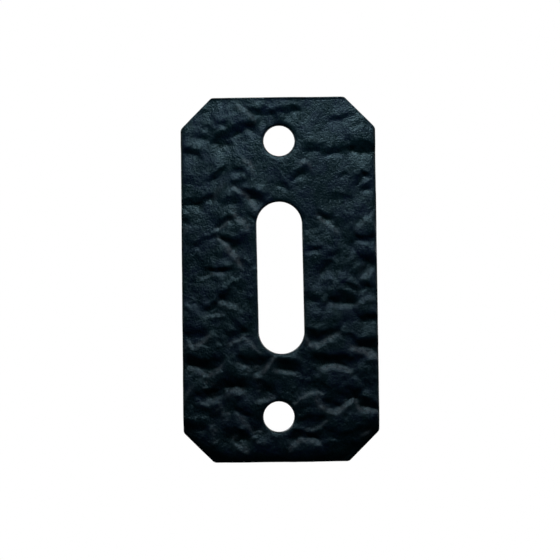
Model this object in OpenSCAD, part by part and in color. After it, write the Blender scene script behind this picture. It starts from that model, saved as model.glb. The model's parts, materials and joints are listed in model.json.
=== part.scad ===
// Slotted keeper plate of a door chain guard: one piece of rough iron plate with its corners
// clipped off, a long slot for the end of the chain and one screw hole above and one below it.
//
// Frame: X to the right and Z up, seen from the front. The flat back lies on Y = 0, against the
// door, and the rough front faces -Y. The two screw holes stand exactly one above the other on
// X = 0, with the origin midway between them. The outline and the slot are cut by eye, so both
// lean a little from that line.

/* [Plate] */
// Width of the plate, halfway up
plate_w = 40; // [30:1:60]
// Height of the plate
plate_h = 75; // [60:1:120]
// Thickness of the iron
plate_t = 3; // [2:0.5:6]
// How much wider the foot of the plate is than its head
flare = 0.6; // [0:0.1:3]
// How far the outline leans to the left of the line of the screw holes, in degrees
plate_lean = 0.7; // [-3:0.1:3]
// How far the middle of the outline lies to the right of the line of the screw holes
plate_shift = 0.15; // [-2:0.05:2]
// How far the middle of the outline lies below the point midway between the screw holes
plate_drop = 0.2; // [-2:0.05:2]
// Length clipped off both corners of the head, along both edges of each
head_cut = 6; // [3:0.1:10]
// Length clipped off both corners of the foot, along both edges of each
foot_cut = 6.4; // [3:0.1:10]
// Radius left on the eight corners of the outline
corner_r = 0.8; // [0.2:0.1:2]
// Width of the chamfer round the front of the outline
edge_ease = 0.5; // [0.2:0.1:1]

/* [Chain slot] */
// Width of the slot
slot_w = 9.4; // [6:0.1:14]
// Length of the slot, over its round ends
slot_l = 31.5; // [20:0.1:38]
// How far the slot leans to the left of the line of the screw holes, in degrees
slot_lean = 1.3; // [-3:0.1:3]
// How far the middle of the slot lies to the right of the line of the screw holes
slot_shift = 0.3; // [-2:0.1:2]
// How far the middle of the slot lies above the point midway between the screw holes
slot_rise = 0.2; // [-2:0.1:2]

/* [Screw holes] */
// Diameter of a screw hole
screw_d = 6.4; // [3:0.1:8]
// Distance from each end of the plate to the centre of the screw hole near it, on average
screw_edge = 9; // [7:0.1:11]
// Width of the chamfer on the front rim of the slot and of each screw hole
rim_ease = 0.4; // [0.2:0.1:1]

/* [Hidden] */
$fn = 96;

// How far a cut runs past the surface that it opens
cut_past = 1;

// Slope of every chamfer, which makes each as deep as it is wide
ease_angle = 45;

// Height of each screw hole's centre above and below the origin
screw_z = plate_h / 2 - screw_edge;

// Half widths of the outline's straight sides, at the head and at the foot
head_x = (plate_w - flare) / 2;
foot_x = (plate_w + flare) / 2;

// The eight corners of the outline before it leans, counter-clockwise from the right of the head
outline_corners = [
    [head_x - head_cut, plate_h / 2],
    [-head_x + head_cut, plate_h / 2],
    [-head_x, plate_h / 2 - head_cut],
    [-foot_x, -plate_h / 2 + foot_cut],
    [-foot_x + foot_cut, -plate_h / 2],
    [foot_x - foot_cut, -plate_h / 2],
    [foot_x, -plate_h / 2 + foot_cut],
    [head_x, plate_h / 2 - head_cut],
];
corner_count = len(outline_corners);

function corner(i) = outline_corners[(i + corner_count) % corner_count];

// Unit vector along the outline, from corner i to the next
function way(i) = (corner(i + 1) - corner(i)) / norm(corner(i + 1) - corner(i));

// Distance from corner i to the points where its arc meets the straight edges
function arc_reach(i) = corner_r * sqrt((1 - way(i - 1) * way(i)) / (1 + way(i - 1) * way(i)));

// Centre of the arc that rounds corner i, on the left of the way round
function arc_centre(i) = corner(i) - way(i - 1) * arc_reach(i) + [-way(i - 1).y, way(i - 1).x] * corner_r;

// The outline, lying flat: straight edges between the arcs' ends, and a disc in each corner
module plate_outline() {
    polygon([
        for (i = [0 : corner_count - 1])
            for (side = [-way(i - 1), way(i)])
                corner(i) + side * arc_reach(i)
    ]);
    for (i = [0 : corner_count - 1])
        translate(arc_centre(i)) circle(r = corner_r);
}

// Everything beyond the chamfer plane along each edge of the outline's front
module edge_chamfers() {
    for (i = [0 : corner_count - 1]) {
        run = norm(corner(i + 1) - corner(i));
        translate([corner(i).x, corner(i).y, plate_t])
            rotate([0, 0, atan2(way(i).y, way(i).x)])
                translate([-run / 2, edge_ease, 0])
                    rotate([ease_angle, 0, 0])
                        translate([0, -plate_t, 0])
                            cube([2 * run, 2 * plate_t, plate_t]);
    }
}

// One hole through the plate with a chamfered front rim, its axis standing on the back
module eased_hole(radius) {
    translate([0, 0, -cut_past]) cylinder(r = radius, h = plate_t + 2 * cut_past);
    translate([0, 0, plate_t - rim_ease])
        cylinder(r1 = radius, r2 = radius + rim_ease + cut_past, h = rim_ease + cut_past);
}

// The straight length of the slot, with the same chamfered rim as the holes
module slot_channel(half_run) {
    rotate([90, 0, 0])
        translate([0, 0, -half_run])
            linear_extrude(height = 2 * half_run)
                polygon([
                    [-slot_w / 2, -cut_past],
                    [slot_w / 2, -cut_past],
                    [slot_w / 2, plate_t - rim_ease],
                    [slot_w / 2 + rim_ease + cut_past, plate_t + cut_past],
                    [-slot_w / 2 - rim_ease - cut_past, plate_t + cut_past],
                    [-slot_w / 2, plate_t - rim_ease],
                ]);
}

// The slot: a channel with a round hole at each end
module chain_slot() {
    half_run = (slot_l - slot_w) / 2;
    slot_channel(half_run);
    for (end = [-1, 1])
        translate([0, end * half_run, 0]) eased_hole(slot_w / 2);
}

// The whole plate, turned up from lying on its back to standing with its front to -Y
module slotted_plate() {
    color([0.09, 0.11, 0.13])
    rotate([90, 0, 0])
    difference() {
        translate([plate_shift, -plate_drop, 0])
            rotate([0, 0, plate_lean])
                difference() {
                    linear_extrude(height = plate_t) plate_outline();
                    edge_chamfers();
                }
        translate([slot_shift, slot_rise, 0])
            rotate([0, 0, slot_lean])
                chain_slot();
        for (end = [-1, 1])
            translate([0, end * screw_z, 0]) eased_hole(screw_d / 2);
    }
}

slotted_plate();
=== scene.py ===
import json
import math
import random
import bpy
import numpy as np
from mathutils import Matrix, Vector, noise

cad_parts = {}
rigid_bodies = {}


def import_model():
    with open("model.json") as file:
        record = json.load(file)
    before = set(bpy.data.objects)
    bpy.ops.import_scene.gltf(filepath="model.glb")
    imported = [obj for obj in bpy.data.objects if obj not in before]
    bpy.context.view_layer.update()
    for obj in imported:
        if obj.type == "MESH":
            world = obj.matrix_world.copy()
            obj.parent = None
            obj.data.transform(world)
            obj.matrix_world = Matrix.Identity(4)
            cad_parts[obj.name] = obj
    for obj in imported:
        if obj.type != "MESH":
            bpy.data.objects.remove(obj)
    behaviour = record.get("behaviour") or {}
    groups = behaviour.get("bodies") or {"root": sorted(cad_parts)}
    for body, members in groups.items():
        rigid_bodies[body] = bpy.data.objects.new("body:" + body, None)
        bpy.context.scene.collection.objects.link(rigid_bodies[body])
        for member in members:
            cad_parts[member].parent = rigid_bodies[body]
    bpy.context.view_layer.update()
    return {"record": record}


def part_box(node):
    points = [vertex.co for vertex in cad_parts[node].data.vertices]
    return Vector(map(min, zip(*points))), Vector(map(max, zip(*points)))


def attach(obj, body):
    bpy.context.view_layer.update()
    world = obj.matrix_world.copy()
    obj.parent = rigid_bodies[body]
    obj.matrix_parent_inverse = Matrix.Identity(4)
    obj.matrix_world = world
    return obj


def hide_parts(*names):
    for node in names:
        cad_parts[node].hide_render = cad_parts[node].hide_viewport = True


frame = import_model()


# ---------------------------------------------------------------- Hammered plate
# The keeper plate is one length of flat iron bar. Its corners are clipped off, its slot and two screw
# holes are punched, and its front is beaten all over with a narrow hammer, then coated black.
# The blank is drawn flat first, and the hammer marks are sunk into its front afterwards.
low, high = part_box("slotted_plate")
thick = high.y - low.y
middle = (low + high) / 2

# The blank is a hair larger than the finished plate, because its front edges are dulled afterwards
blank_w = 0.04030
blank_h = 0.07527

bpy.ops.object.select_all(action="DESELECT")
bpy.ops.mesh.primitive_cube_add(size=1, location=(0, 0, 0))
plate = bpy.context.object
plate.name = "hammered_plate"
bpy.ops.object.mode_set(mode="EDIT")
bpy.ops.mesh.select_all(action="SELECT")
bpy.ops.transform.resize(value=(blank_w, thick, blank_h))
bpy.ops.object.mode_set(mode="OBJECT")


def bevel_uprights(piece, wanted, size, steps):
    """Bevels the edges that run through the thickness, at the corners that `wanted` picks."""
    bpy.ops.object.mode_set(mode="EDIT")
    bpy.ops.mesh.select_mode(type="EDGE")
    bpy.ops.mesh.select_all(action="DESELECT")
    bpy.ops.object.mode_set(mode="OBJECT")
    for edge in piece.data.edges:
        a, b = (piece.data.vertices[i].co for i in edge.vertices)
        edge.select = abs(a.y - b.y) > thick / 2 and wanted(a)
    bpy.ops.object.mode_set(mode="EDIT")
    bpy.ops.mesh.bevel(offset_type="OFFSET", offset=size, segments=steps, affect="EDGES")
    bpy.ops.object.mode_set(mode="OBJECT")


# The four corners are clipped off, then the eight points that this leaves are dulled
head_clip = 0.0064
foot_clip = 0.0063
point_size = 0.00035
bevel_uprights(plate, lambda p: p.z > 0, head_clip, 1)
bevel_uprights(plate, lambda p: p.z < 0, foot_clip, 1)
bevel_uprights(plate, lambda p: True, point_size, 3)

# The foot is a little wider than the head, and the whole outline leans and lies a little off centre
flare = 0.0058
lean = math.radians(0.7)
aside = 0.00015
dropped = 0.00025
for vertex in plate.data.vertices:
    vertex.co.x *= 1 - flare * vertex.co.z / (blank_h / 2)
bpy.ops.object.mode_set(mode="EDIT")
bpy.ops.mesh.select_all(action="SELECT")
bpy.ops.transform.rotate(value=lean, orient_axis="Y", orient_type="GLOBAL", center_override=(0, 0, 0))
bpy.ops.transform.translate(value=(aside, middle.y, -dropped))
bpy.ops.object.mode_set(mode="OBJECT")


def punch(piece, cutter):
    """Cuts one punch's shape out of the blank."""
    cut = piece.modifiers.new("punch", "BOOLEAN")
    cut.operation = "DIFFERENCE"
    cut.solver = "EXACT"
    cut.object = cutter
    bpy.ops.object.select_all(action="DESELECT")
    bpy.context.view_layer.objects.active = piece
    piece.select_set(True)
    bpy.ops.object.modifier_apply(modifier=cut.name)
    bpy.data.objects.remove(cutter)


# The two screw holes
mounts = {mount["name"]: mount for mount in frame["record"]["mounts"]}
screw_holes = [mounts["upper_screw_hole"], mounts["lower_screw_hole"]]
for hole in screw_holes:
    bpy.ops.mesh.primitive_cylinder_add(
        vertices=96, radius=hole["dims"]["r_mm"] / 1000, depth=3 * thick,
        location=(hole["pos_m"][0], middle.y, hole["pos_m"][2]), rotation=(math.pi / 2, 0, 0))
    punch(plate, bpy.context.object)

# The slot: a round punch whose upper and lower halves are pulled apart, then leant
slot = mounts["chain_slot"]
slot_r = slot["dims"]["hole_r_mm"] / 1000
slot_reach = slot["dims"]["slot_length_mm"] / 2000 - slot_r
bpy.ops.mesh.primitive_cylinder_add(vertices=96, radius=slot_r, depth=3 * thick, rotation=(math.pi / 2, 0, 0))
slot_punch = bpy.context.object
bpy.ops.object.transform_apply(location=False, rotation=True, scale=False)
for vertex in slot_punch.data.vertices:
    vertex.co.z += math.copysign(slot_reach, vertex.co.z)
bpy.ops.object.mode_set(mode="EDIT")
bpy.ops.mesh.select_all(action="SELECT")
bpy.ops.transform.rotate(value=-math.atan2(slot["axis"][0], slot["axis"][2]), orient_axis="Y",
                         orient_type="GLOBAL", center_override=(0, 0, 0))
bpy.ops.transform.translate(value=(slot["pos_m"][0], middle.y, slot["pos_m"][2]))
bpy.ops.object.mode_set(mode="OBJECT")
punch(plate, slot_punch)

# Even small faces all over, then every edge dulled
face_size = 0.000225
skin = plate.modifiers.new("skin", "REMESH")
skin.mode = "VOXEL"
skin.voxel_size = face_size
bpy.ops.object.modifier_apply(modifier=skin.name)
dull = plate.modifiers.new("dull", "SMOOTH")
dull.factor = 0.5
dull.iterations = 3
bpy.ops.object.modifier_apply(modifier=dull.name)

# Fewer faces on the back, which is flat and lies on the door
back_skin = 0.00005
bpy.ops.object.mode_set(mode="EDIT")
bpy.ops.mesh.select_mode(type="FACE")
bpy.ops.mesh.select_all(action="DESELECT")
bpy.ops.object.mode_set(mode="OBJECT")
for face in plate.data.polygons:
    face.select = face.center.y > high.y - back_skin
bpy.ops.object.mode_set(mode="EDIT")
bpy.ops.mesh.select_less()
bpy.ops.mesh.decimate(ratio=0.05)
bpy.ops.object.mode_set(mode="OBJECT")

# Marks that the hammer's edge has left on the front, each along a line of (across, up) points. A mark's
# first number is the angle by which its band faces upwards, which is below zero where the band faces
# down, and the second is half the band's width. Angles are in degrees and lengths in millimetres.
marks = [
    # Clefts above the slot, facing down
    (-26, 0.7, (-6.5, 34.7), (-3, 34.5), (0, 34.8), (4, 35.1)), (-16, 0.8, (-1.5, 33.5), (1.0, 33.1)),
    (-20, 0.4, (-12.8, 31.8), (-10.4, 32.8)), (-14, 0.4, (-15.6, 31.3), (-14.6, 31.6)),
    (-32, 1.1, (-13.6, 28.7), (-11, 29.6), (-8.5, 31.0), (-4.8, 31.7)),
    (-16, 0.7, (-12.6, 27.6), (-10.6, 27.9)), (-20, 0.5, (-17.4, 29.6), (-14.8, 29.3)),
    (-24, 0.7, (-20.2, 26.9), (-18, 26.2), (-16.2, 25.8)),
    (-30, 0.6, (-14.2, 20.3), (-12.6, 21.4), (-10.8, 23.2)), (-30, 0.7, (-9.2, 22.8), (-7.2, 22.4)),
    (-24, 0.7, (-9.4, 19.4), (-7.2, 20.1), (-6.2, 21.2)), (-12, 0.9, (-20.2, 20.1), (-16.8, 20.3)),
    (-34, 1.0, (-7.2, 17.6), (-4.8, 17.3), (-3.0, 16.4)), (-26, 0.7, (2.8, 21.2), (4.6, 21.9), (6.2, 22.9)),
    (-20, 0.6, (0.3, 19.9), (2.2, 18.8)), (-24, 0.8, (5.4, 27.4), (8.4, 27.1)),
    (-22, 0.7, (8.8, 26.0), (12, 26.6), (15, 27.3)), (-28, 1.3, (14.8, 27.3), (17.2, 27.4), (20, 26.7)),
    (-14, 0.9, (13.6, 29.0), (17, 29.1), (19.4, 28.2)),
    (-22, 0.5, (10.6, 32.8), (12.6, 33.0), (14.2, 33.7)), (-20, 0.5, (12.8, 21.6), (14.2, 21.9)),
    (-34, 0.7, (16.0, 20.6), (17.2, 21.8), (18.8, 21.3)), (-30, 0.8, (16.8, 18.9), (19.0, 19.2)),
    (-12, 0.7, (10.2, 17.3), (15.2, 16.9)), (-14, 0.5, (-17.0, 34.0), (-15.0, 34.9)),
    # Clefts beside the slot
    (-26, 0.6, (-20.2, 15.7), (-17, 16.0), (-14.5, 16.7), (-12.8, 17.3)),
    (-22, 0.8, (-11.4, 15.7), (-8.2, 16.3)), (-26, 0.6, (-12.8, 11.3), (-11, 12.3), (-8.8, 12.7)),
    (-24, 0.8, (-20.2, 12.8), (-18.6, 12.0)), (-18, 0.6, (-6.4, 13.6), (-4.4, 12.3)),
    (-20, 0.6, (-18.0, 6.9), (-15, 8.1), (-12.8, 9.0)), (-26, 1.2, (-12.4, 8.3), (-10, 7.8), (-7.4, 8.0)),
    (-26, 0.6, (-15.0, 2.3), (-12.4, 1.9), (-9.8, 2.3)), (-14, 0.8, (-8.8, 3.9), (-5.8, 2.7)),
    (-22, 0.6, (8.0, 13.9), (10.4, 13.1)), (-16, 0.4, (10.6, 13.2), (12.2, 11.4)),
    (-34, 1.2, (15.6, 9.0), (17.6, 8.8), (20.2, 9.0)), (-32, 1.6, (16.2, 5.4), (20.2, 4.0)),
    (-22, 0.5, (10.6, 5.2), (12.6, 6.0)), (-18, 0.5, (6.6, 6.2), (9.2, 6.8)),
    (-18, 0.8, (7.6, 2.4), (10.8, 3.6)), (-22, 0.7, (15.4, 1.6), (18.4, 2.6)),
    (-30, 0.9, (-12.9, -3.6), (-11.6, -3.1), (-10.0, -1.9)), (-26, 0.6, (-15.4, -5.9), (-12.8, -5.3)),
    (-26, 1.3, (-20.0, -10.7), (-17, -10.9), (-14.4, -11.2)), (-20, 0.8, (-8.6, -9.3), (-6.4, -9.9)),
    (-24, 0.5, (-10.6, -11.6), (-8.6, -10.8), (-6.2, -10.3)),
    (-30, 1.2, (10.2, -3.6), (13, -3.5), (15.9, -4.2)), (-18, 1.0, (5.6, -3.4), (8.2, -3.9)),
    (-20, 0.7, (12.2, -0.9), (16.0, -1.6)), (-24, 0.8, (16.4, -0.7), (19.6, -1.3)),
    (-30, 1.1, (16.2, -7.5), (20.2, -7.7)), (-28, 1.1, (5.8, -10.9), (8.4, -11.7), (12.4, -10.4)),
    (-18, 0.6, (13.0, -11.3), (15.4, -11.9)), (-30, 1.2, (15.8, -12.9), (20.2, -12.7)),
    # Clefts below it
    (-30, 1.5, (-19.6, -16.6), (-15.4, -17.2), (-11.8, -16.6)),
    (-24, 1.3, (-8.4, -15.9), (-5.6, -16.6), (-2.6, -16.9)),
    (-26, 1.1, (-0.9, -17.0), (1.4, -17.5), (4.4, -18.0)),
    (-30, 1.2, (7.0, -16.2), (11.4, -16.1), (14.8, -16.5)),
    (-28, 1.4, (-13.8, -22.4), (-10.4, -20.8), (-6.2, -21.4)), (-22, 1.2, (-4.6, -21.4), (-1.2, -22.6)),
    (-15, 0.9, (3.6, -21.6), (7.2, -21.4), (9.8, -22.2)),
    (-28, 1.5, (9.4, -22.7), (13, -23.0), (17.0, -23.1)), (-26, 0.9, (9.4, -24.7), (12.6, -25.5)),
    (-30, 1.0, (16.4, -24.9), (20.4, -25.9)), (-22, 0.9, (-17.4, -23.6), (-12.4, -23.6)),
    (-16, 1.2, (-17.4, -27.0), (-12.0, -27.4)), (-20, 1.0, (-10.0, -26.2), (-5.2, -27.8)),
    (-24, 1.3, (-11.4, -31.2), (-6.2, -32.4)), (-20, 0.7, (4.0, -29.2), (9.4, -28.2)),
    (-24, 0.9, (2.6, -31.8), (8.6, -32.0)), (-22, 1.6, (9.8, -31.4), (15, -31.4), (19.2, -30.0)),
    (-20, 1.2, (-19.6, -30.0), (-14.6, -30.0)), (-20, 1.0, (9.4, -34.8), (16.2, -33.8)),
    # Burrs and rims above the slot, facing up
    (22, 0.6, (-8.9, 35.6), (-6.6, 34.1), (-4.9, 32.6)),
    (9, 1.0, (-17.4, 28.3), (-14.6, 27.4), (-12.6, 26.1), (-10.8, 24.4)),
    (3, 2.0, (-9.4, 27.6), (-4.4, 25.4)), (26, 0.5, (-7.2, 24.4), (-6.0, 23.4), (-5.2, 22.2)),
    (8, 0.6, (-10.4, 21.2), (-8.2, 22.0), (-6.8, 21.2)), (9, 0.4, (-9.8, 18.2), (-8.2, 18.7)),
    (24, 0.6, (4.2, 23.5), (5.6, 24.2), (6.6, 23.3)), (12, 0.4, (2.2, 19.9), (4.8, 20.4)),
    (14, 0.4, (-0.4, 18.8), (0.9, 18.4)), (6, 1.3, (8.4, 25.2), (12, 25.5), (15, 25.2), (19.9, 24.7)),
    (4, 1.8, (13.4, 23.2), (19.8, 22.6)), (5, 1.0, (9.2, 30.7), (11.4, 28.9)),
    (9, 0.5, (17.0, 20.5), (18.4, 20.6)), (4, 1.4, (11.0, 31.2), (17.0, 30.6)),
    (7, 0.7, (-13.4, 19.4), (-10.8, 21.4)), (8, 0.4, (12.8, 20.7), (14.4, 21.2)),
    (4, 1.2, (-16.8, 32.8), (-13.0, 33.4)), (6, 0.6, (-5.0, 36.1), (-2.2, 35.9)),
    (5, 0.5, (1.0, 36.1), (4.0, 35.9)), (6, 0.8, (15.0, 18.4), (16.6, 17.6)),
    # Burrs and rims beside the slot
    (24, 0.5, (-9.4, 18.7), (-7.6, 17.7), (-5.6, 15.6), (-3.9, 14.0)),
    (9, 0.7, (-18.0, 14.4), (-15.8, 14.0)), (6, 1.0, (-15.4, 15.5), (-12.0, 15.2)),
    (17, 0.5, (-13.6, 16.6), (-11.2, 19.6)), (25, 0.35, (-13.3, 10.2), (-11.6, 11.0), (-9.9, 11.8)),
    (26, 0.6, (-9.8, 13.8), (-8.4, 12.4), (-6.4, 10.6)),
    (34, 0.45, (-12.7, 8.6), (-11, 6.6), (-8.8, 4.4), (-7.8, 2.6)), (14, 0.6, (-17.3, 6.4), (-15.6, 4.7)),
    (6, 0.7, (-15.6, 7.0), (-13.4, 8.3)), (18, 0.6, (-19.9, 9.3), (-18.2, 10.9)),
    (18, 0.45, (-16.1, 0.2), (-14.5, 0.9), (-11.3, 1.1)),
    (15, 0.5, (-10.8, -0.9), (-9.2, -0.2), (-7.6, 0.7)), (23, 0.5, (7.6, 13.2), (9.4, 11.8), (12.2, 9.7)),
    (15, 0.6, (12.6, 15.1), (13.8, 13.4)), (16, 0.7, (15.6, 9.9), (17.4, 11.6), (19.8, 13.7)),
    (7, 1.2, (12.0, 7.8), (15.2, 5.8), (16.4, 6.2)), (12, 0.6, (14.6, 4.4), (16.2, 5.6), (17.0, 7.4)),
    (12, 0.5, (5.4, 4.9), (8.4, 5.4)), (10, 0.4, (11.8, 3.8), (13.2, 4.3)),
    (13, 0.9, (8.4, 0.2), (10.2, 0.8), (12.4, -0.4)), (18, 0.5, (16.4, 0.1), (18.1, 0.7), (19.6, 1.7)),
    (20, 0.65, (-12.6, -5.3), (-10.8, -5.2), (-8.4, -5.9)),
    (17, 0.4, (-15.4, -7.8), (-13, -7.3), (-11.1, -7.4)),
    (15, 0.6, (-20.0, -4.7), (-18.2, -5.9), (-16.6, -5.8)),
    (18, 0.5, (10.2, -5.3), (13, -5.6), (16.4, -5.5)), (16, 0.5, (16.0, -5.2), (17.6, -4.1), (19.8, -3.9)),
    (14, 0.5, (16.2, -2.6), (17.6, -2.9)), (14, 0.5, (18.4, -5.8), (19.9, -5.7)),
    (9, 0.5, (8.0, -2.6), (9.8, -3.6)), (10, 0.5, (13.0, -1.2), (14.9, -3.0)),
    (12, 0.7, (16.6, -11.6), (17.9, -10.3), (20.1, -8.9)),
    (27, 0.5, (-18.9, -13.0), (-17.6, -14.2), (-15.8, -13.5), (-14.0, -11.8)),
    (24, 0.3, (-10.4, -13.7), (-8.6, -12.7), (-7.2, -11.9), (-5.5, -13.6), (-3.8, -15.0)),
    (27, 0.5, (5.2, -11.9), (6.4, -13.6), (8, -13.9), (9.6, -12.6), (12.6, -11.3)),
    (15, 0.6, (14.0, -12.7), (15.6, -13.3)),
    # Burrs and rims below it
    (38, 0.7, (14.8, -14.2), (18, -15.2), (20.3, -15.9)),
    (32, 0.4, (-4.4, -20.4), (-2.4, -18.3), (-0.4, -16.2)),
    (24, 0.5, (-18.9, -18.4), (-16, -19.3), (-14.4, -19.8), (-12.6, -18.8), (-11.4, -17.6)),
    (7, 0.6, (-8.0, -17.9), (-5.2, -18.9)), (22, 0.4, (-1.0, -18.9), (1.0, -19.3), (3.4, -19.9)),
    (26, 0.65, (8.8, -18.4), (11.2, -17.9), (14.8, -18.9)), (26, 1.0, (-10.8, -23.5), (-7.2, -22.9)),
    (22, 0.5, (-15.9, -25.7), (-14, -25.2), (-11.9, -24.8)), (20, 0.7, (-19.8, -25.0), (-17.9, -22.6)),
    (11, 0.8, (-12.3, -26.1), (-10.6, -28.9)), (22, 0.5, (-4.7, -25.5), (-2.5, -24.7), (-0.9, -24.1)),
    (22, 0.5, (-8.9, -28.0), (-7.1, -29.0), (-5.6, -31.0)), (14, 1.2, (-5.6, -32.2), (-1.8, -33.2)),
    (12, 1.2, (-14.4, -31.6), (-12.4, -33.6)), (22, 0.5, (-9.7, -32.6), (-8.4, -32.4)),
    (26, 0.5, (-8.8, -34.2), (-7.5, -35.0), (-6.1, -35.8)),
    (28, 0.5, (2.0, -34.9), (3.6, -34.1), (4.7, -33.0), (6.5, -33.2), (8.4, -33.8)),
    (22, 0.4, (5.6, -31.0), (7.5, -30.8), (9.0, -30.0), (10.4, -29.1)),
    (26, 0.3, (3.0, -25.9), (4.5, -24.6), (6.0, -23.6), (7.6, -23.1), (9.2, -23.9)),
    (32, 0.6, (7.4, -24.4), (8.6, -25.9), (10, -27.2), (12, -27.5), (13.2, -26.2), (15.2, -24.7),
     (16.9, -26.8), (20.4, -27.4)), (8, 1.4, (11.0, -29.0), (18.6, -28.6)),
    (28, 0.4, (17.0, -32.0), (18.8, -31.2)), (14, 0.5, (10.4, -32.7), (11.8, -33.2)),
]

# Grit that has stuck to the iron in short rows
grit_rows = [
    ((-14.6, -19.6), (-14.0, -24.2)), ((-4.6, -19.8), (-3.8, -23.0)), ((-13.6, -30.2), (-13.2, -34.0)),
    ((-12.4, -26.0), (-10.9, -29.2)), ((-5.4, -31.0), (-3.0, -34.6)), ((-7.4, -17.6), (-5.0, -19.6)),
]
speck_half = 0.2
chance = random.Random(7)
for (x0, z0), (x1, z1) in grit_rows:
    for _ in range(12):
        along = chance.random()
        across = x0 + along * (x1 - x0) + chance.gauss(0, 0.45)
        up = z0 + along * (z1 - z0) + chance.gauss(0, 0.3)
        tilt = chance.uniform(16, 34)
        climb = chance.uniform(-0.15, 0.15)
        marks.append((tilt, speck_half, (across - speck_half, up), (across + speck_half, up + climb)))

# Lesser marks at random all over
chance = random.Random(41)
for _ in range(150):
    across = chance.uniform(-20, 20)
    up = chance.triangular(-37, 37, -20)
    run = chance.uniform(0.3, 0.8)
    climb = run * chance.uniform(-0.5, 0.9)
    tilt = chance.choice((-1, 1)) * chance.uniform(5, 8 if up > 12 else 14)
    half_w = chance.uniform(0.2, 0.5)
    marks.append((tilt, half_w, (across - run, up - climb), (across + run, up + climb)))

spots = np.empty(len(plate.data.vertices) * 3)
plate.data.vertices.foreach_get("co", spots)
spots = spots.reshape(-1, 3)
x, z = spots[:, 0] * 1000, spots[:, 2] * 1000


def rough(across, up, size, seed):
    """Smooth noise from -1 to 1, in patches of about `size` millimetres."""
    return np.array([noise.noise(Vector((a / size, b / size, seed))) for a, b in zip(across, up)])


# The marks' outlines are ragged, their force comes and goes, and the face between them isn't flat
# either. The head of the plate is beaten less hard than the rest, and the lower part is the grittiest.
# Places across and up the face are in millimetres, and so is `sunk`, which is below zero where the face
# lies deep. Distances along y are in metres.
felt_depth = 0.0024
front = spots[:, 1] < low.y + felt_depth
fx, fz = x[front], z[front]
gx = fx + 0.5 * rough(fx, fz, 3.0, 3.7) + 0.22 * rough(fx, fz, 1.1, 8.1)
gz = fz + 0.5 * rough(fx, fz, 2.8, 11.3) + 0.2 * rough(fx, fz, 1.0, 5.9)
force = 1 + 0.6 * rough(fx, fz, 1.5, 23.5)
calm = 1 - 0.36 * np.clip((fz - 8) / 12, 0, 1)
lower = 1 - np.clip((fz + 4) / 14, 0, 1)

usual_depth = 0.6
waves = 0.34 * rough(gx, gz, 6.5, 20.4) + 0.17 * rough(1.5 * gx, 0.8 * gz, 3.4, 31.0)
ripples = calm ** 2 * 0.07 * rough(1.5 * gx, 0.8 * gz, 1.6, 40.2)
sunk = calm * waves + ripples - usual_depth
crumbs = (0.6 + 0.8 * rough(fx, fz, 5.0, 77.7)) * (1 + 0.9 * lower)
sunk += np.clip(crumbs, 0.2, 2.2) * (0.045 * rough(gx, gz, 0.75, 50.6) + 0.028 * rough(fx, fz, 0.45, 61.9))

# Each mark is a tilted band that fades out at its ends and eases back to the face above and below it.
# The steeper burrs, which face up, are also where the coat is rubbed, and where a painted highlight goes.
rub_and_highlight = np.zeros(len(fx))
for tilt, half_w, *line in marks:
    px, pz = np.array(line).T
    steep = (pz[1] - pz[0]) / (px[1] - px[0])
    if len(px) > 2:
        steep = np.interp(gx, (px[:-1] + px[1:]) / 2, np.diff(pz) / np.diff(px))
    off = (gz - np.interp(gx, px, pz)) / np.sqrt(1 + steep ** 2)
    fade = (0.8 if tilt > 0 else 1.5) + abs(off)
    ends = np.clip((gx - px[0]) / fade + 0.5, 0, 1) * np.clip((px[-1] - gx) / fade + 0.5, 0, 1)
    above, below = (2.0, 4.0) if tilt > 0 else (6.0, 2.5)
    reach = np.minimum(np.where(off > 0, above, below), 0.6 + 0.6 * (px[-1] - px[0]))
    share = calm / np.sqrt(1 + 0.7 * steep ** 2) if tilt > 0 else 1
    rise = 1.2 * half_w * math.tan(math.radians(tilt)) * share
    if tilt > 15:
        rub_and_highlight = np.maximum(rub_and_highlight, (tilt - 12) / 18 * ends * np.exp(-(off / (0.2 + 0.6 * half_w)) ** 2))
    push = force if half_w > 0.3 else 1
    band = np.clip(off / half_w, -1, 1)
    sunk -= rise * push * ends ** 2 * (3 - 2 * ends) * band * np.exp(-abs(off) / reach)

# How far inside each edge of the finished outline every point lies
half_wide = 20
half_high = 37.5
head_cut = 6
foot_cut = 6.4
taper = 0.0075
outline_x = 0.15
outline_z = -0.2
ox, oz = fx - outline_x, fz - outline_z
ox, oz = ox * math.cos(lean) + oz * math.sin(lean), -ox * math.sin(lean) + oz * math.cos(lean)
sides = [half_wide * (1 - taper * oz / half_high) - abs(ox)]
head = [half_high - oz, (half_wide + half_high - head_cut - abs(ox) - oz) / math.sqrt(2)]
foot = [half_high + oz, (half_wide + half_high - foot_cut - abs(ox) + oz) / math.sqrt(2)]

# And how far it lies from the rims of the screw holes and of the slot
rims = []
for hole in screw_holes:
    from_centre = np.hypot(fx - 1000 * hole["pos_m"][0], fz - 1000 * hole["pos_m"][2])
    rims.append(from_centre - hole["dims"]["r_mm"])
slot_lean = math.radians(1.3)
slot_x = fx - 1000 * slot["pos_m"][0]
slot_z = fz - 1000 * slot["pos_m"][2]
slot_across = slot_x * math.cos(slot_lean) + slot_z * math.sin(slot_lean)
slot_along = abs(slot_z * math.cos(slot_lean) - slot_x * math.sin(slot_lean))
rims.append(np.hypot(slot_across, np.maximum(slot_along - 1000 * slot_reach, 0)) - slot["dims"]["hole_r_mm"])

# The edges and rims are dulled, each over its own width and by its own drop. The foot's edge is dulled
# most, and the head's is left a little prouder than the face inside it.
dulled = [(gap, 0.8, 0.20) for gap in sides]
dulled += [(gap, 0.5, -0.22) for gap in head]
dulled += [(gap, 2.8, 0.9) for gap in foot]
dulled += [(gap, 1.0, 0.25) for gap in rims]
for gap, width, drop in dulled:
    sunk -= drop * np.clip(1 - gap / width, 0, 1) ** 2

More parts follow.
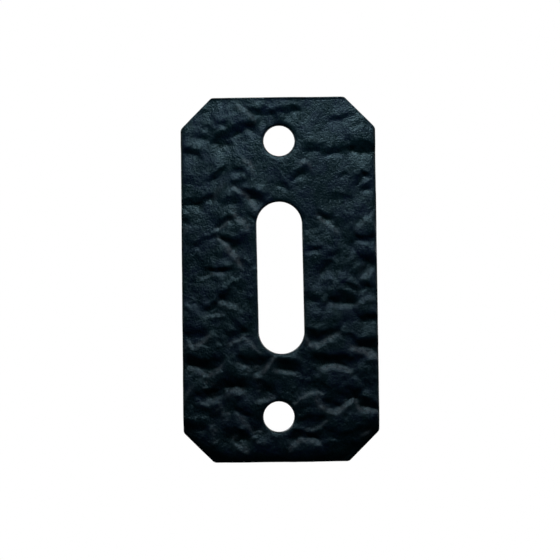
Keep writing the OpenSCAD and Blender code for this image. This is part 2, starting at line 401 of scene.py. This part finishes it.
# Nothing stands proud of the bar's own face or is beaten in too deep, and both limits are soft
deepest = 1.75
soft = 0.1
sunk = -soft * np.logaddexp(0, -sunk / soft)
sunk = soft * np.logaddexp(0, (sunk + deepest) / soft) - deepest

# The face is told from the walls while it is still flat
face_depth = 0.0010
face_fade = 0.0005
on_face = np.clip((low.y + face_depth - spots[front, 1]) / face_fade, 0, 1)

# The blows carry the walls with them, less and less towards the back
felt_fade = 0.0022
weight = np.clip((low.y + felt_depth - spots[front, 1]) / felt_fade, 0, 1)
spots[front, 1] -= sunk / 1000 * weight
plate.data.vertices.foreach_set("co", spots.ravel())
plate.data.update()

# What the coat needs to know of each point: how deep it lies, which sets its painted shade, how near it is to
# an edge, how much it has been rubbed and takes a painted highlight, and how rough the iron under it is
deep, near, burr_wear_and_highlight, beaten = np.zeros((4, len(spots)))
deep[front] = np.clip(-sunk / 1.5, 0, 1)
near[front] = np.clip(1 - np.min([gap for gap, _, _ in dulled], axis=0) / 0.7, 0, 1) * on_face
burr_wear_and_highlight[front] = np.clip(rub_and_highlight, 0, 1) * on_face
beaten[front] = on_face * (0.70 + 0.30 * lower)
for name, values in (("deep", deep), ("near", near), ("rub_and_highlight", burr_wear_and_highlight), ("beaten", beaten)):
    plate.data.attributes.new(name, "FLOAT", "POINT").data.foreach_set("value", values)

# Three-sided faces, shaded smooth
three_sided = plate.modifiers.new("three_sided", "TRIANGULATE")
bpy.ops.object.modifier_apply(modifier=three_sided.name)
bpy.ops.object.shade_smooth()

# The coat: blue-black and satin, with a fine grain and small paler flecks. It has pooled in the hollows,
# where it is glossier, and the hollows carry painted shade, darker the deeper they lie. It is rubbed in
# places along the edges, where the grey of the iron comes through. The steep up-facing burrs are paler
# grey, partly rubbed iron and partly a painted highlight, and the very rim is painted near-black as shade.
coat = bpy.data.materials.new("black_coated_iron")
coat.use_nodes = True
nodes, links = coat.node_tree.nodes, coat.node_tree.links
shader = nodes["Principled BSDF"]
shader.inputs["Specular Tint"].default_value = (0.60, 0.88, 1.0, 1)
where = nodes.new("ShaderNodeTexCoord")


def speckle(scale, detail, seed):
    """Noise of about 1 / scale metres, shifted by `seed` metres."""
    move = nodes.new("ShaderNodeMapping")
    move.inputs["Location"].default_value = (seed, seed, seed)
    field = nodes.new("ShaderNodeTexNoise")
    field.inputs["Scale"].default_value = scale
    field.inputs["Detail"].default_value = detail
    links.new(where.outputs["Object"], move.inputs["Vector"])
    links.new(move.outputs["Vector"], field.inputs["Vector"])
    return field.outputs["Fac"]


def spread(value, low_in, high_in, low_out, high_out):
    """Carries one range of values over to another, smoothly, and holds it there."""
    node = nodes.new("ShaderNodeMapRange")
    node.interpolation_type = "SMOOTHSTEP"
    for socket, number in zip(node.inputs[1:5], (low_in, high_in, low_out, high_out)):
        socket.default_value = number
    links.new(value, node.inputs["Value"])
    return node.outputs["Result"]


def reckon(operation, first, second):
    """Two values joined by a sum, a product or the like."""
    node = nodes.new("ShaderNodeMath")
    node.operation = operation
    for socket, value in zip(node.inputs, (first, second)):
        if isinstance(value, (int, float)):
            socket.default_value = value
        else:
            links.new(value, socket)
    return node.outputs["Value"]


def blend(share, first, second):
    """Two colours mixed by `share`."""
    node = nodes.new("ShaderNodeMix")
    node.data_type = "RGBA"
    links.new(share, node.inputs[0])
    for socket, value in zip((node.inputs[6], node.inputs[7]), (first, second)):
        if isinstance(value, tuple):
            socket.default_value = value
        else:
            links.new(value, socket)
    return node.outputs[2]


hollow = nodes.new("ShaderNodeAttribute")
hollow.attribute_name = "deep"
edge = nodes.new("ShaderNodeAttribute")
edge.attribute_name = "near"
crest = nodes.new("ShaderNodeAttribute")
crest.attribute_name = "rub_and_highlight"
face = nodes.new("ShaderNodeAttribute")
face.attribute_name = "beaten"
patches = speckle(330, 4, 0.31)
grain = speckle(2600, 3, 0.0)
grit = speckle(5200, 2, 0.17)

green_black = (0.001, 0.009, 0.011, 1)
blue_black = (0.001, 0.003, 0.021, 1)
grain_tone = (0.001, 0.010, 0.018, 1)
fleck_tone = (0.012, 0.024, 0.034, 1)
hollow_shade_tone = (0.000, 0.006, 0.005, 1)
worn_edge_tone = (0.026, 0.028, 0.030, 1)
bare_iron_and_highlight_tone = (0.054, 0.060, 0.070, 1)
rim_shade_tone = (0.000, 0.002, 0.002, 1)

tone = blend(spread(patches, 0.40, 0.62, 0, 1), green_black, blue_black)
tone = blend(spread(grain, 0.35, 0.70, 0, 1), tone, grain_tone)
tone = blend(spread(speckle(3700, 1, 0.43), 0.54, 0.74, 0, 0.8), tone, fleck_tone)
# Painted shade: the deeper a hollow lies, the darker its colour is painted
tone = blend(spread(hollow.outputs["Fac"], 0.45, 0.85, 0, 0.7), tone, hollow_shade_tone)
near_edge = spread(edge.outputs["Fac"], 0.30, 0.95, 0, 1)
worn = reckon("MULTIPLY", near_edge, spread(speckle(900, 4, 0.53), 0.50, 0.66, 0, 0.6))
tone = blend(worn, tone, worn_edge_tone)
# Paler grey on the steep up-facing burrs: partly rubbed bare iron, partly a painted highlight
rub_and_painted_highlight = reckon("MULTIPLY", crest.outputs["Fac"], spread(speckle(1300, 3, 0.71), 0.36, 0.60, 0.25, 1))
tone = blend(rub_and_painted_highlight, tone, bare_iron_and_highlight_tone)
# Painted shade: a near-black line along the very rim of the face
rim = spread(edge.outputs["Fac"], 0.50, 0.82, 0, 0.9)
tone = blend(rim, tone, rim_shade_tone)
links.new(tone, shader.inputs["Base Color"])

gloss = reckon("ADD", spread(patches, 0.35, 0.65, 0.36, 0.435), spread(grain, 0.30, 0.70, -0.08, 0.08))
gloss = reckon("SUBTRACT", gloss, spread(hollow.outputs["Fac"], 0.45, 0.85, 0, 0.04))
gloss = reckon("ADD", gloss, reckon("MULTIPLY", worn, 0.12))
gloss = reckon("SUBTRACT", gloss, reckon("MULTIPLY", rim, 0.08))
links.new(gloss, shader.inputs["Roughness"])

bump = nodes.new("ShaderNodeBump")
bump.inputs["Strength"].default_value = 0.8
bump.inputs["Distance"].default_value = 0.00018
bumps = reckon("ADD", grain, reckon("MULTIPLY", grit, 0.5))
links.new(reckon("MULTIPLY", bumps, spread(face.outputs["Fac"], 0, 1, 0.25, 1.15)), bump.inputs["Height"])
links.new(bump.outputs["Normal"], shader.inputs["Normal"])
plate.data.materials.append(coat)

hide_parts("slotted_plate")
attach(plate, "root")


# ---------------------------------------------------------------- Studio
# A pale floor well below the plate, a small soft light above the plate's head, a weak one on each side
# and two behind, in a white room that only the camera sees. To the black coat the room is nearly dark,
# so it reflects little but the lights.
bpy.ops.mesh.primitive_plane_add(size=1.2, location=(0, 0, low.z - 0.22))
floor = bpy.context.object
floor.name = "floor"
paper = bpy.data.materials.new("paper")
paper.use_nodes = True
paper_shader = paper.node_tree.nodes["Principled BSDF"]
paper_shader.inputs["Base Color"].default_value = (0.85, 0.85, 0.85, 1)
paper_shader.inputs["Roughness"].default_value = 0.9
paper_shader.inputs["Emission Color"].default_value = (1, 1, 1, 1)
paper_shader.inputs["Emission Strength"].default_value = 0.75
floor.data.materials.append(paper)
floor.visible_glossy = False
floor.visible_diffuse = False

world = bpy.data.worlds.new("room")
bpy.context.scene.world = world
world.use_nodes = True
room = world.node_tree
room.nodes.clear()
seen = room.nodes.new("ShaderNodeBackground")
seen.inputs["Color"].default_value = (1, 1, 1, 1)
lit = room.nodes.new("ShaderNodeBackground")
lit.inputs["Color"].default_value = (0.004, 0.010, 0.012, 1)
which = room.nodes.new("ShaderNodeLightPath")
both = room.nodes.new("ShaderNodeMixShader")
out = room.nodes.new("ShaderNodeOutputWorld")
room.links.new(which.outputs["Is Camera Ray"], both.inputs["Fac"])
room.links.new(lit.outputs["Background"], both.inputs[1])
room.links.new(seen.outputs["Background"], both.inputs[2])
room.links.new(both.outputs["Shader"], out.inputs["Surface"])


def soft_light(name, place, aim, wide, tall, watts, tone):
    """A soft light `wide` by `tall` at `place`, facing `aim`, that the camera doesn't see."""
    data = bpy.data.lights.new(name, "AREA")
    data.shape = "RECTANGLE"
    data.size, data.size_y = wide, tall
    data.energy = watts
    data.color = tone
    lamp = bpy.data.objects.new(name, data)
    bpy.context.scene.collection.objects.link(lamp)
    lamp.location = place
    lamp.rotation_euler = (Vector(aim) - Vector(place)).to_track_quat("-Z", "Y").to_euler()
    lamp.visible_camera = False


soft_light("key", (0.004, -0.084, 0.112), (0, -0.003, 0), 0.04, 0.035, 0.102, (0.88, 0.97, 1.0))
for side in (-1, 1):
    soft_light("side", (side * 0.22, -0.04, 0.05), (0, 0, 0), 0.08, 0.12, 0.035, (0.90, 0.97, 1.0))
soft_light("back_left", (-0.25, 0.30, 0.20), (0, 0, 0), 0.30, 0.30, 1.2, (0.95, 0.98, 1.0))
soft_light("back_right", (0.25, 0.30, 0.10), (0, 0, 0), 0.30, 0.30, 0.9, (0.95, 0.98, 1.0))

# The camera looks level at the front from about 320 mm away. It stands a hair to the right of the point
# midway between the screw holes, and a hair below it.
away = 0.3197
eye = bpy.data.cameras.new("eye")
eye.lens = 100
eye.sensor_width = 36
camera = bpy.data.objects.new("eye", eye)
bpy.context.scene.collection.objects.link(camera)
camera.location = (0.00022, low.y - away, -0.00025)
camera.rotation_euler = (math.pi / 2, 0, 0)
bpy.context.scene.camera = camera
bpy.context.scene.view_settings.view_transform = "Standard"
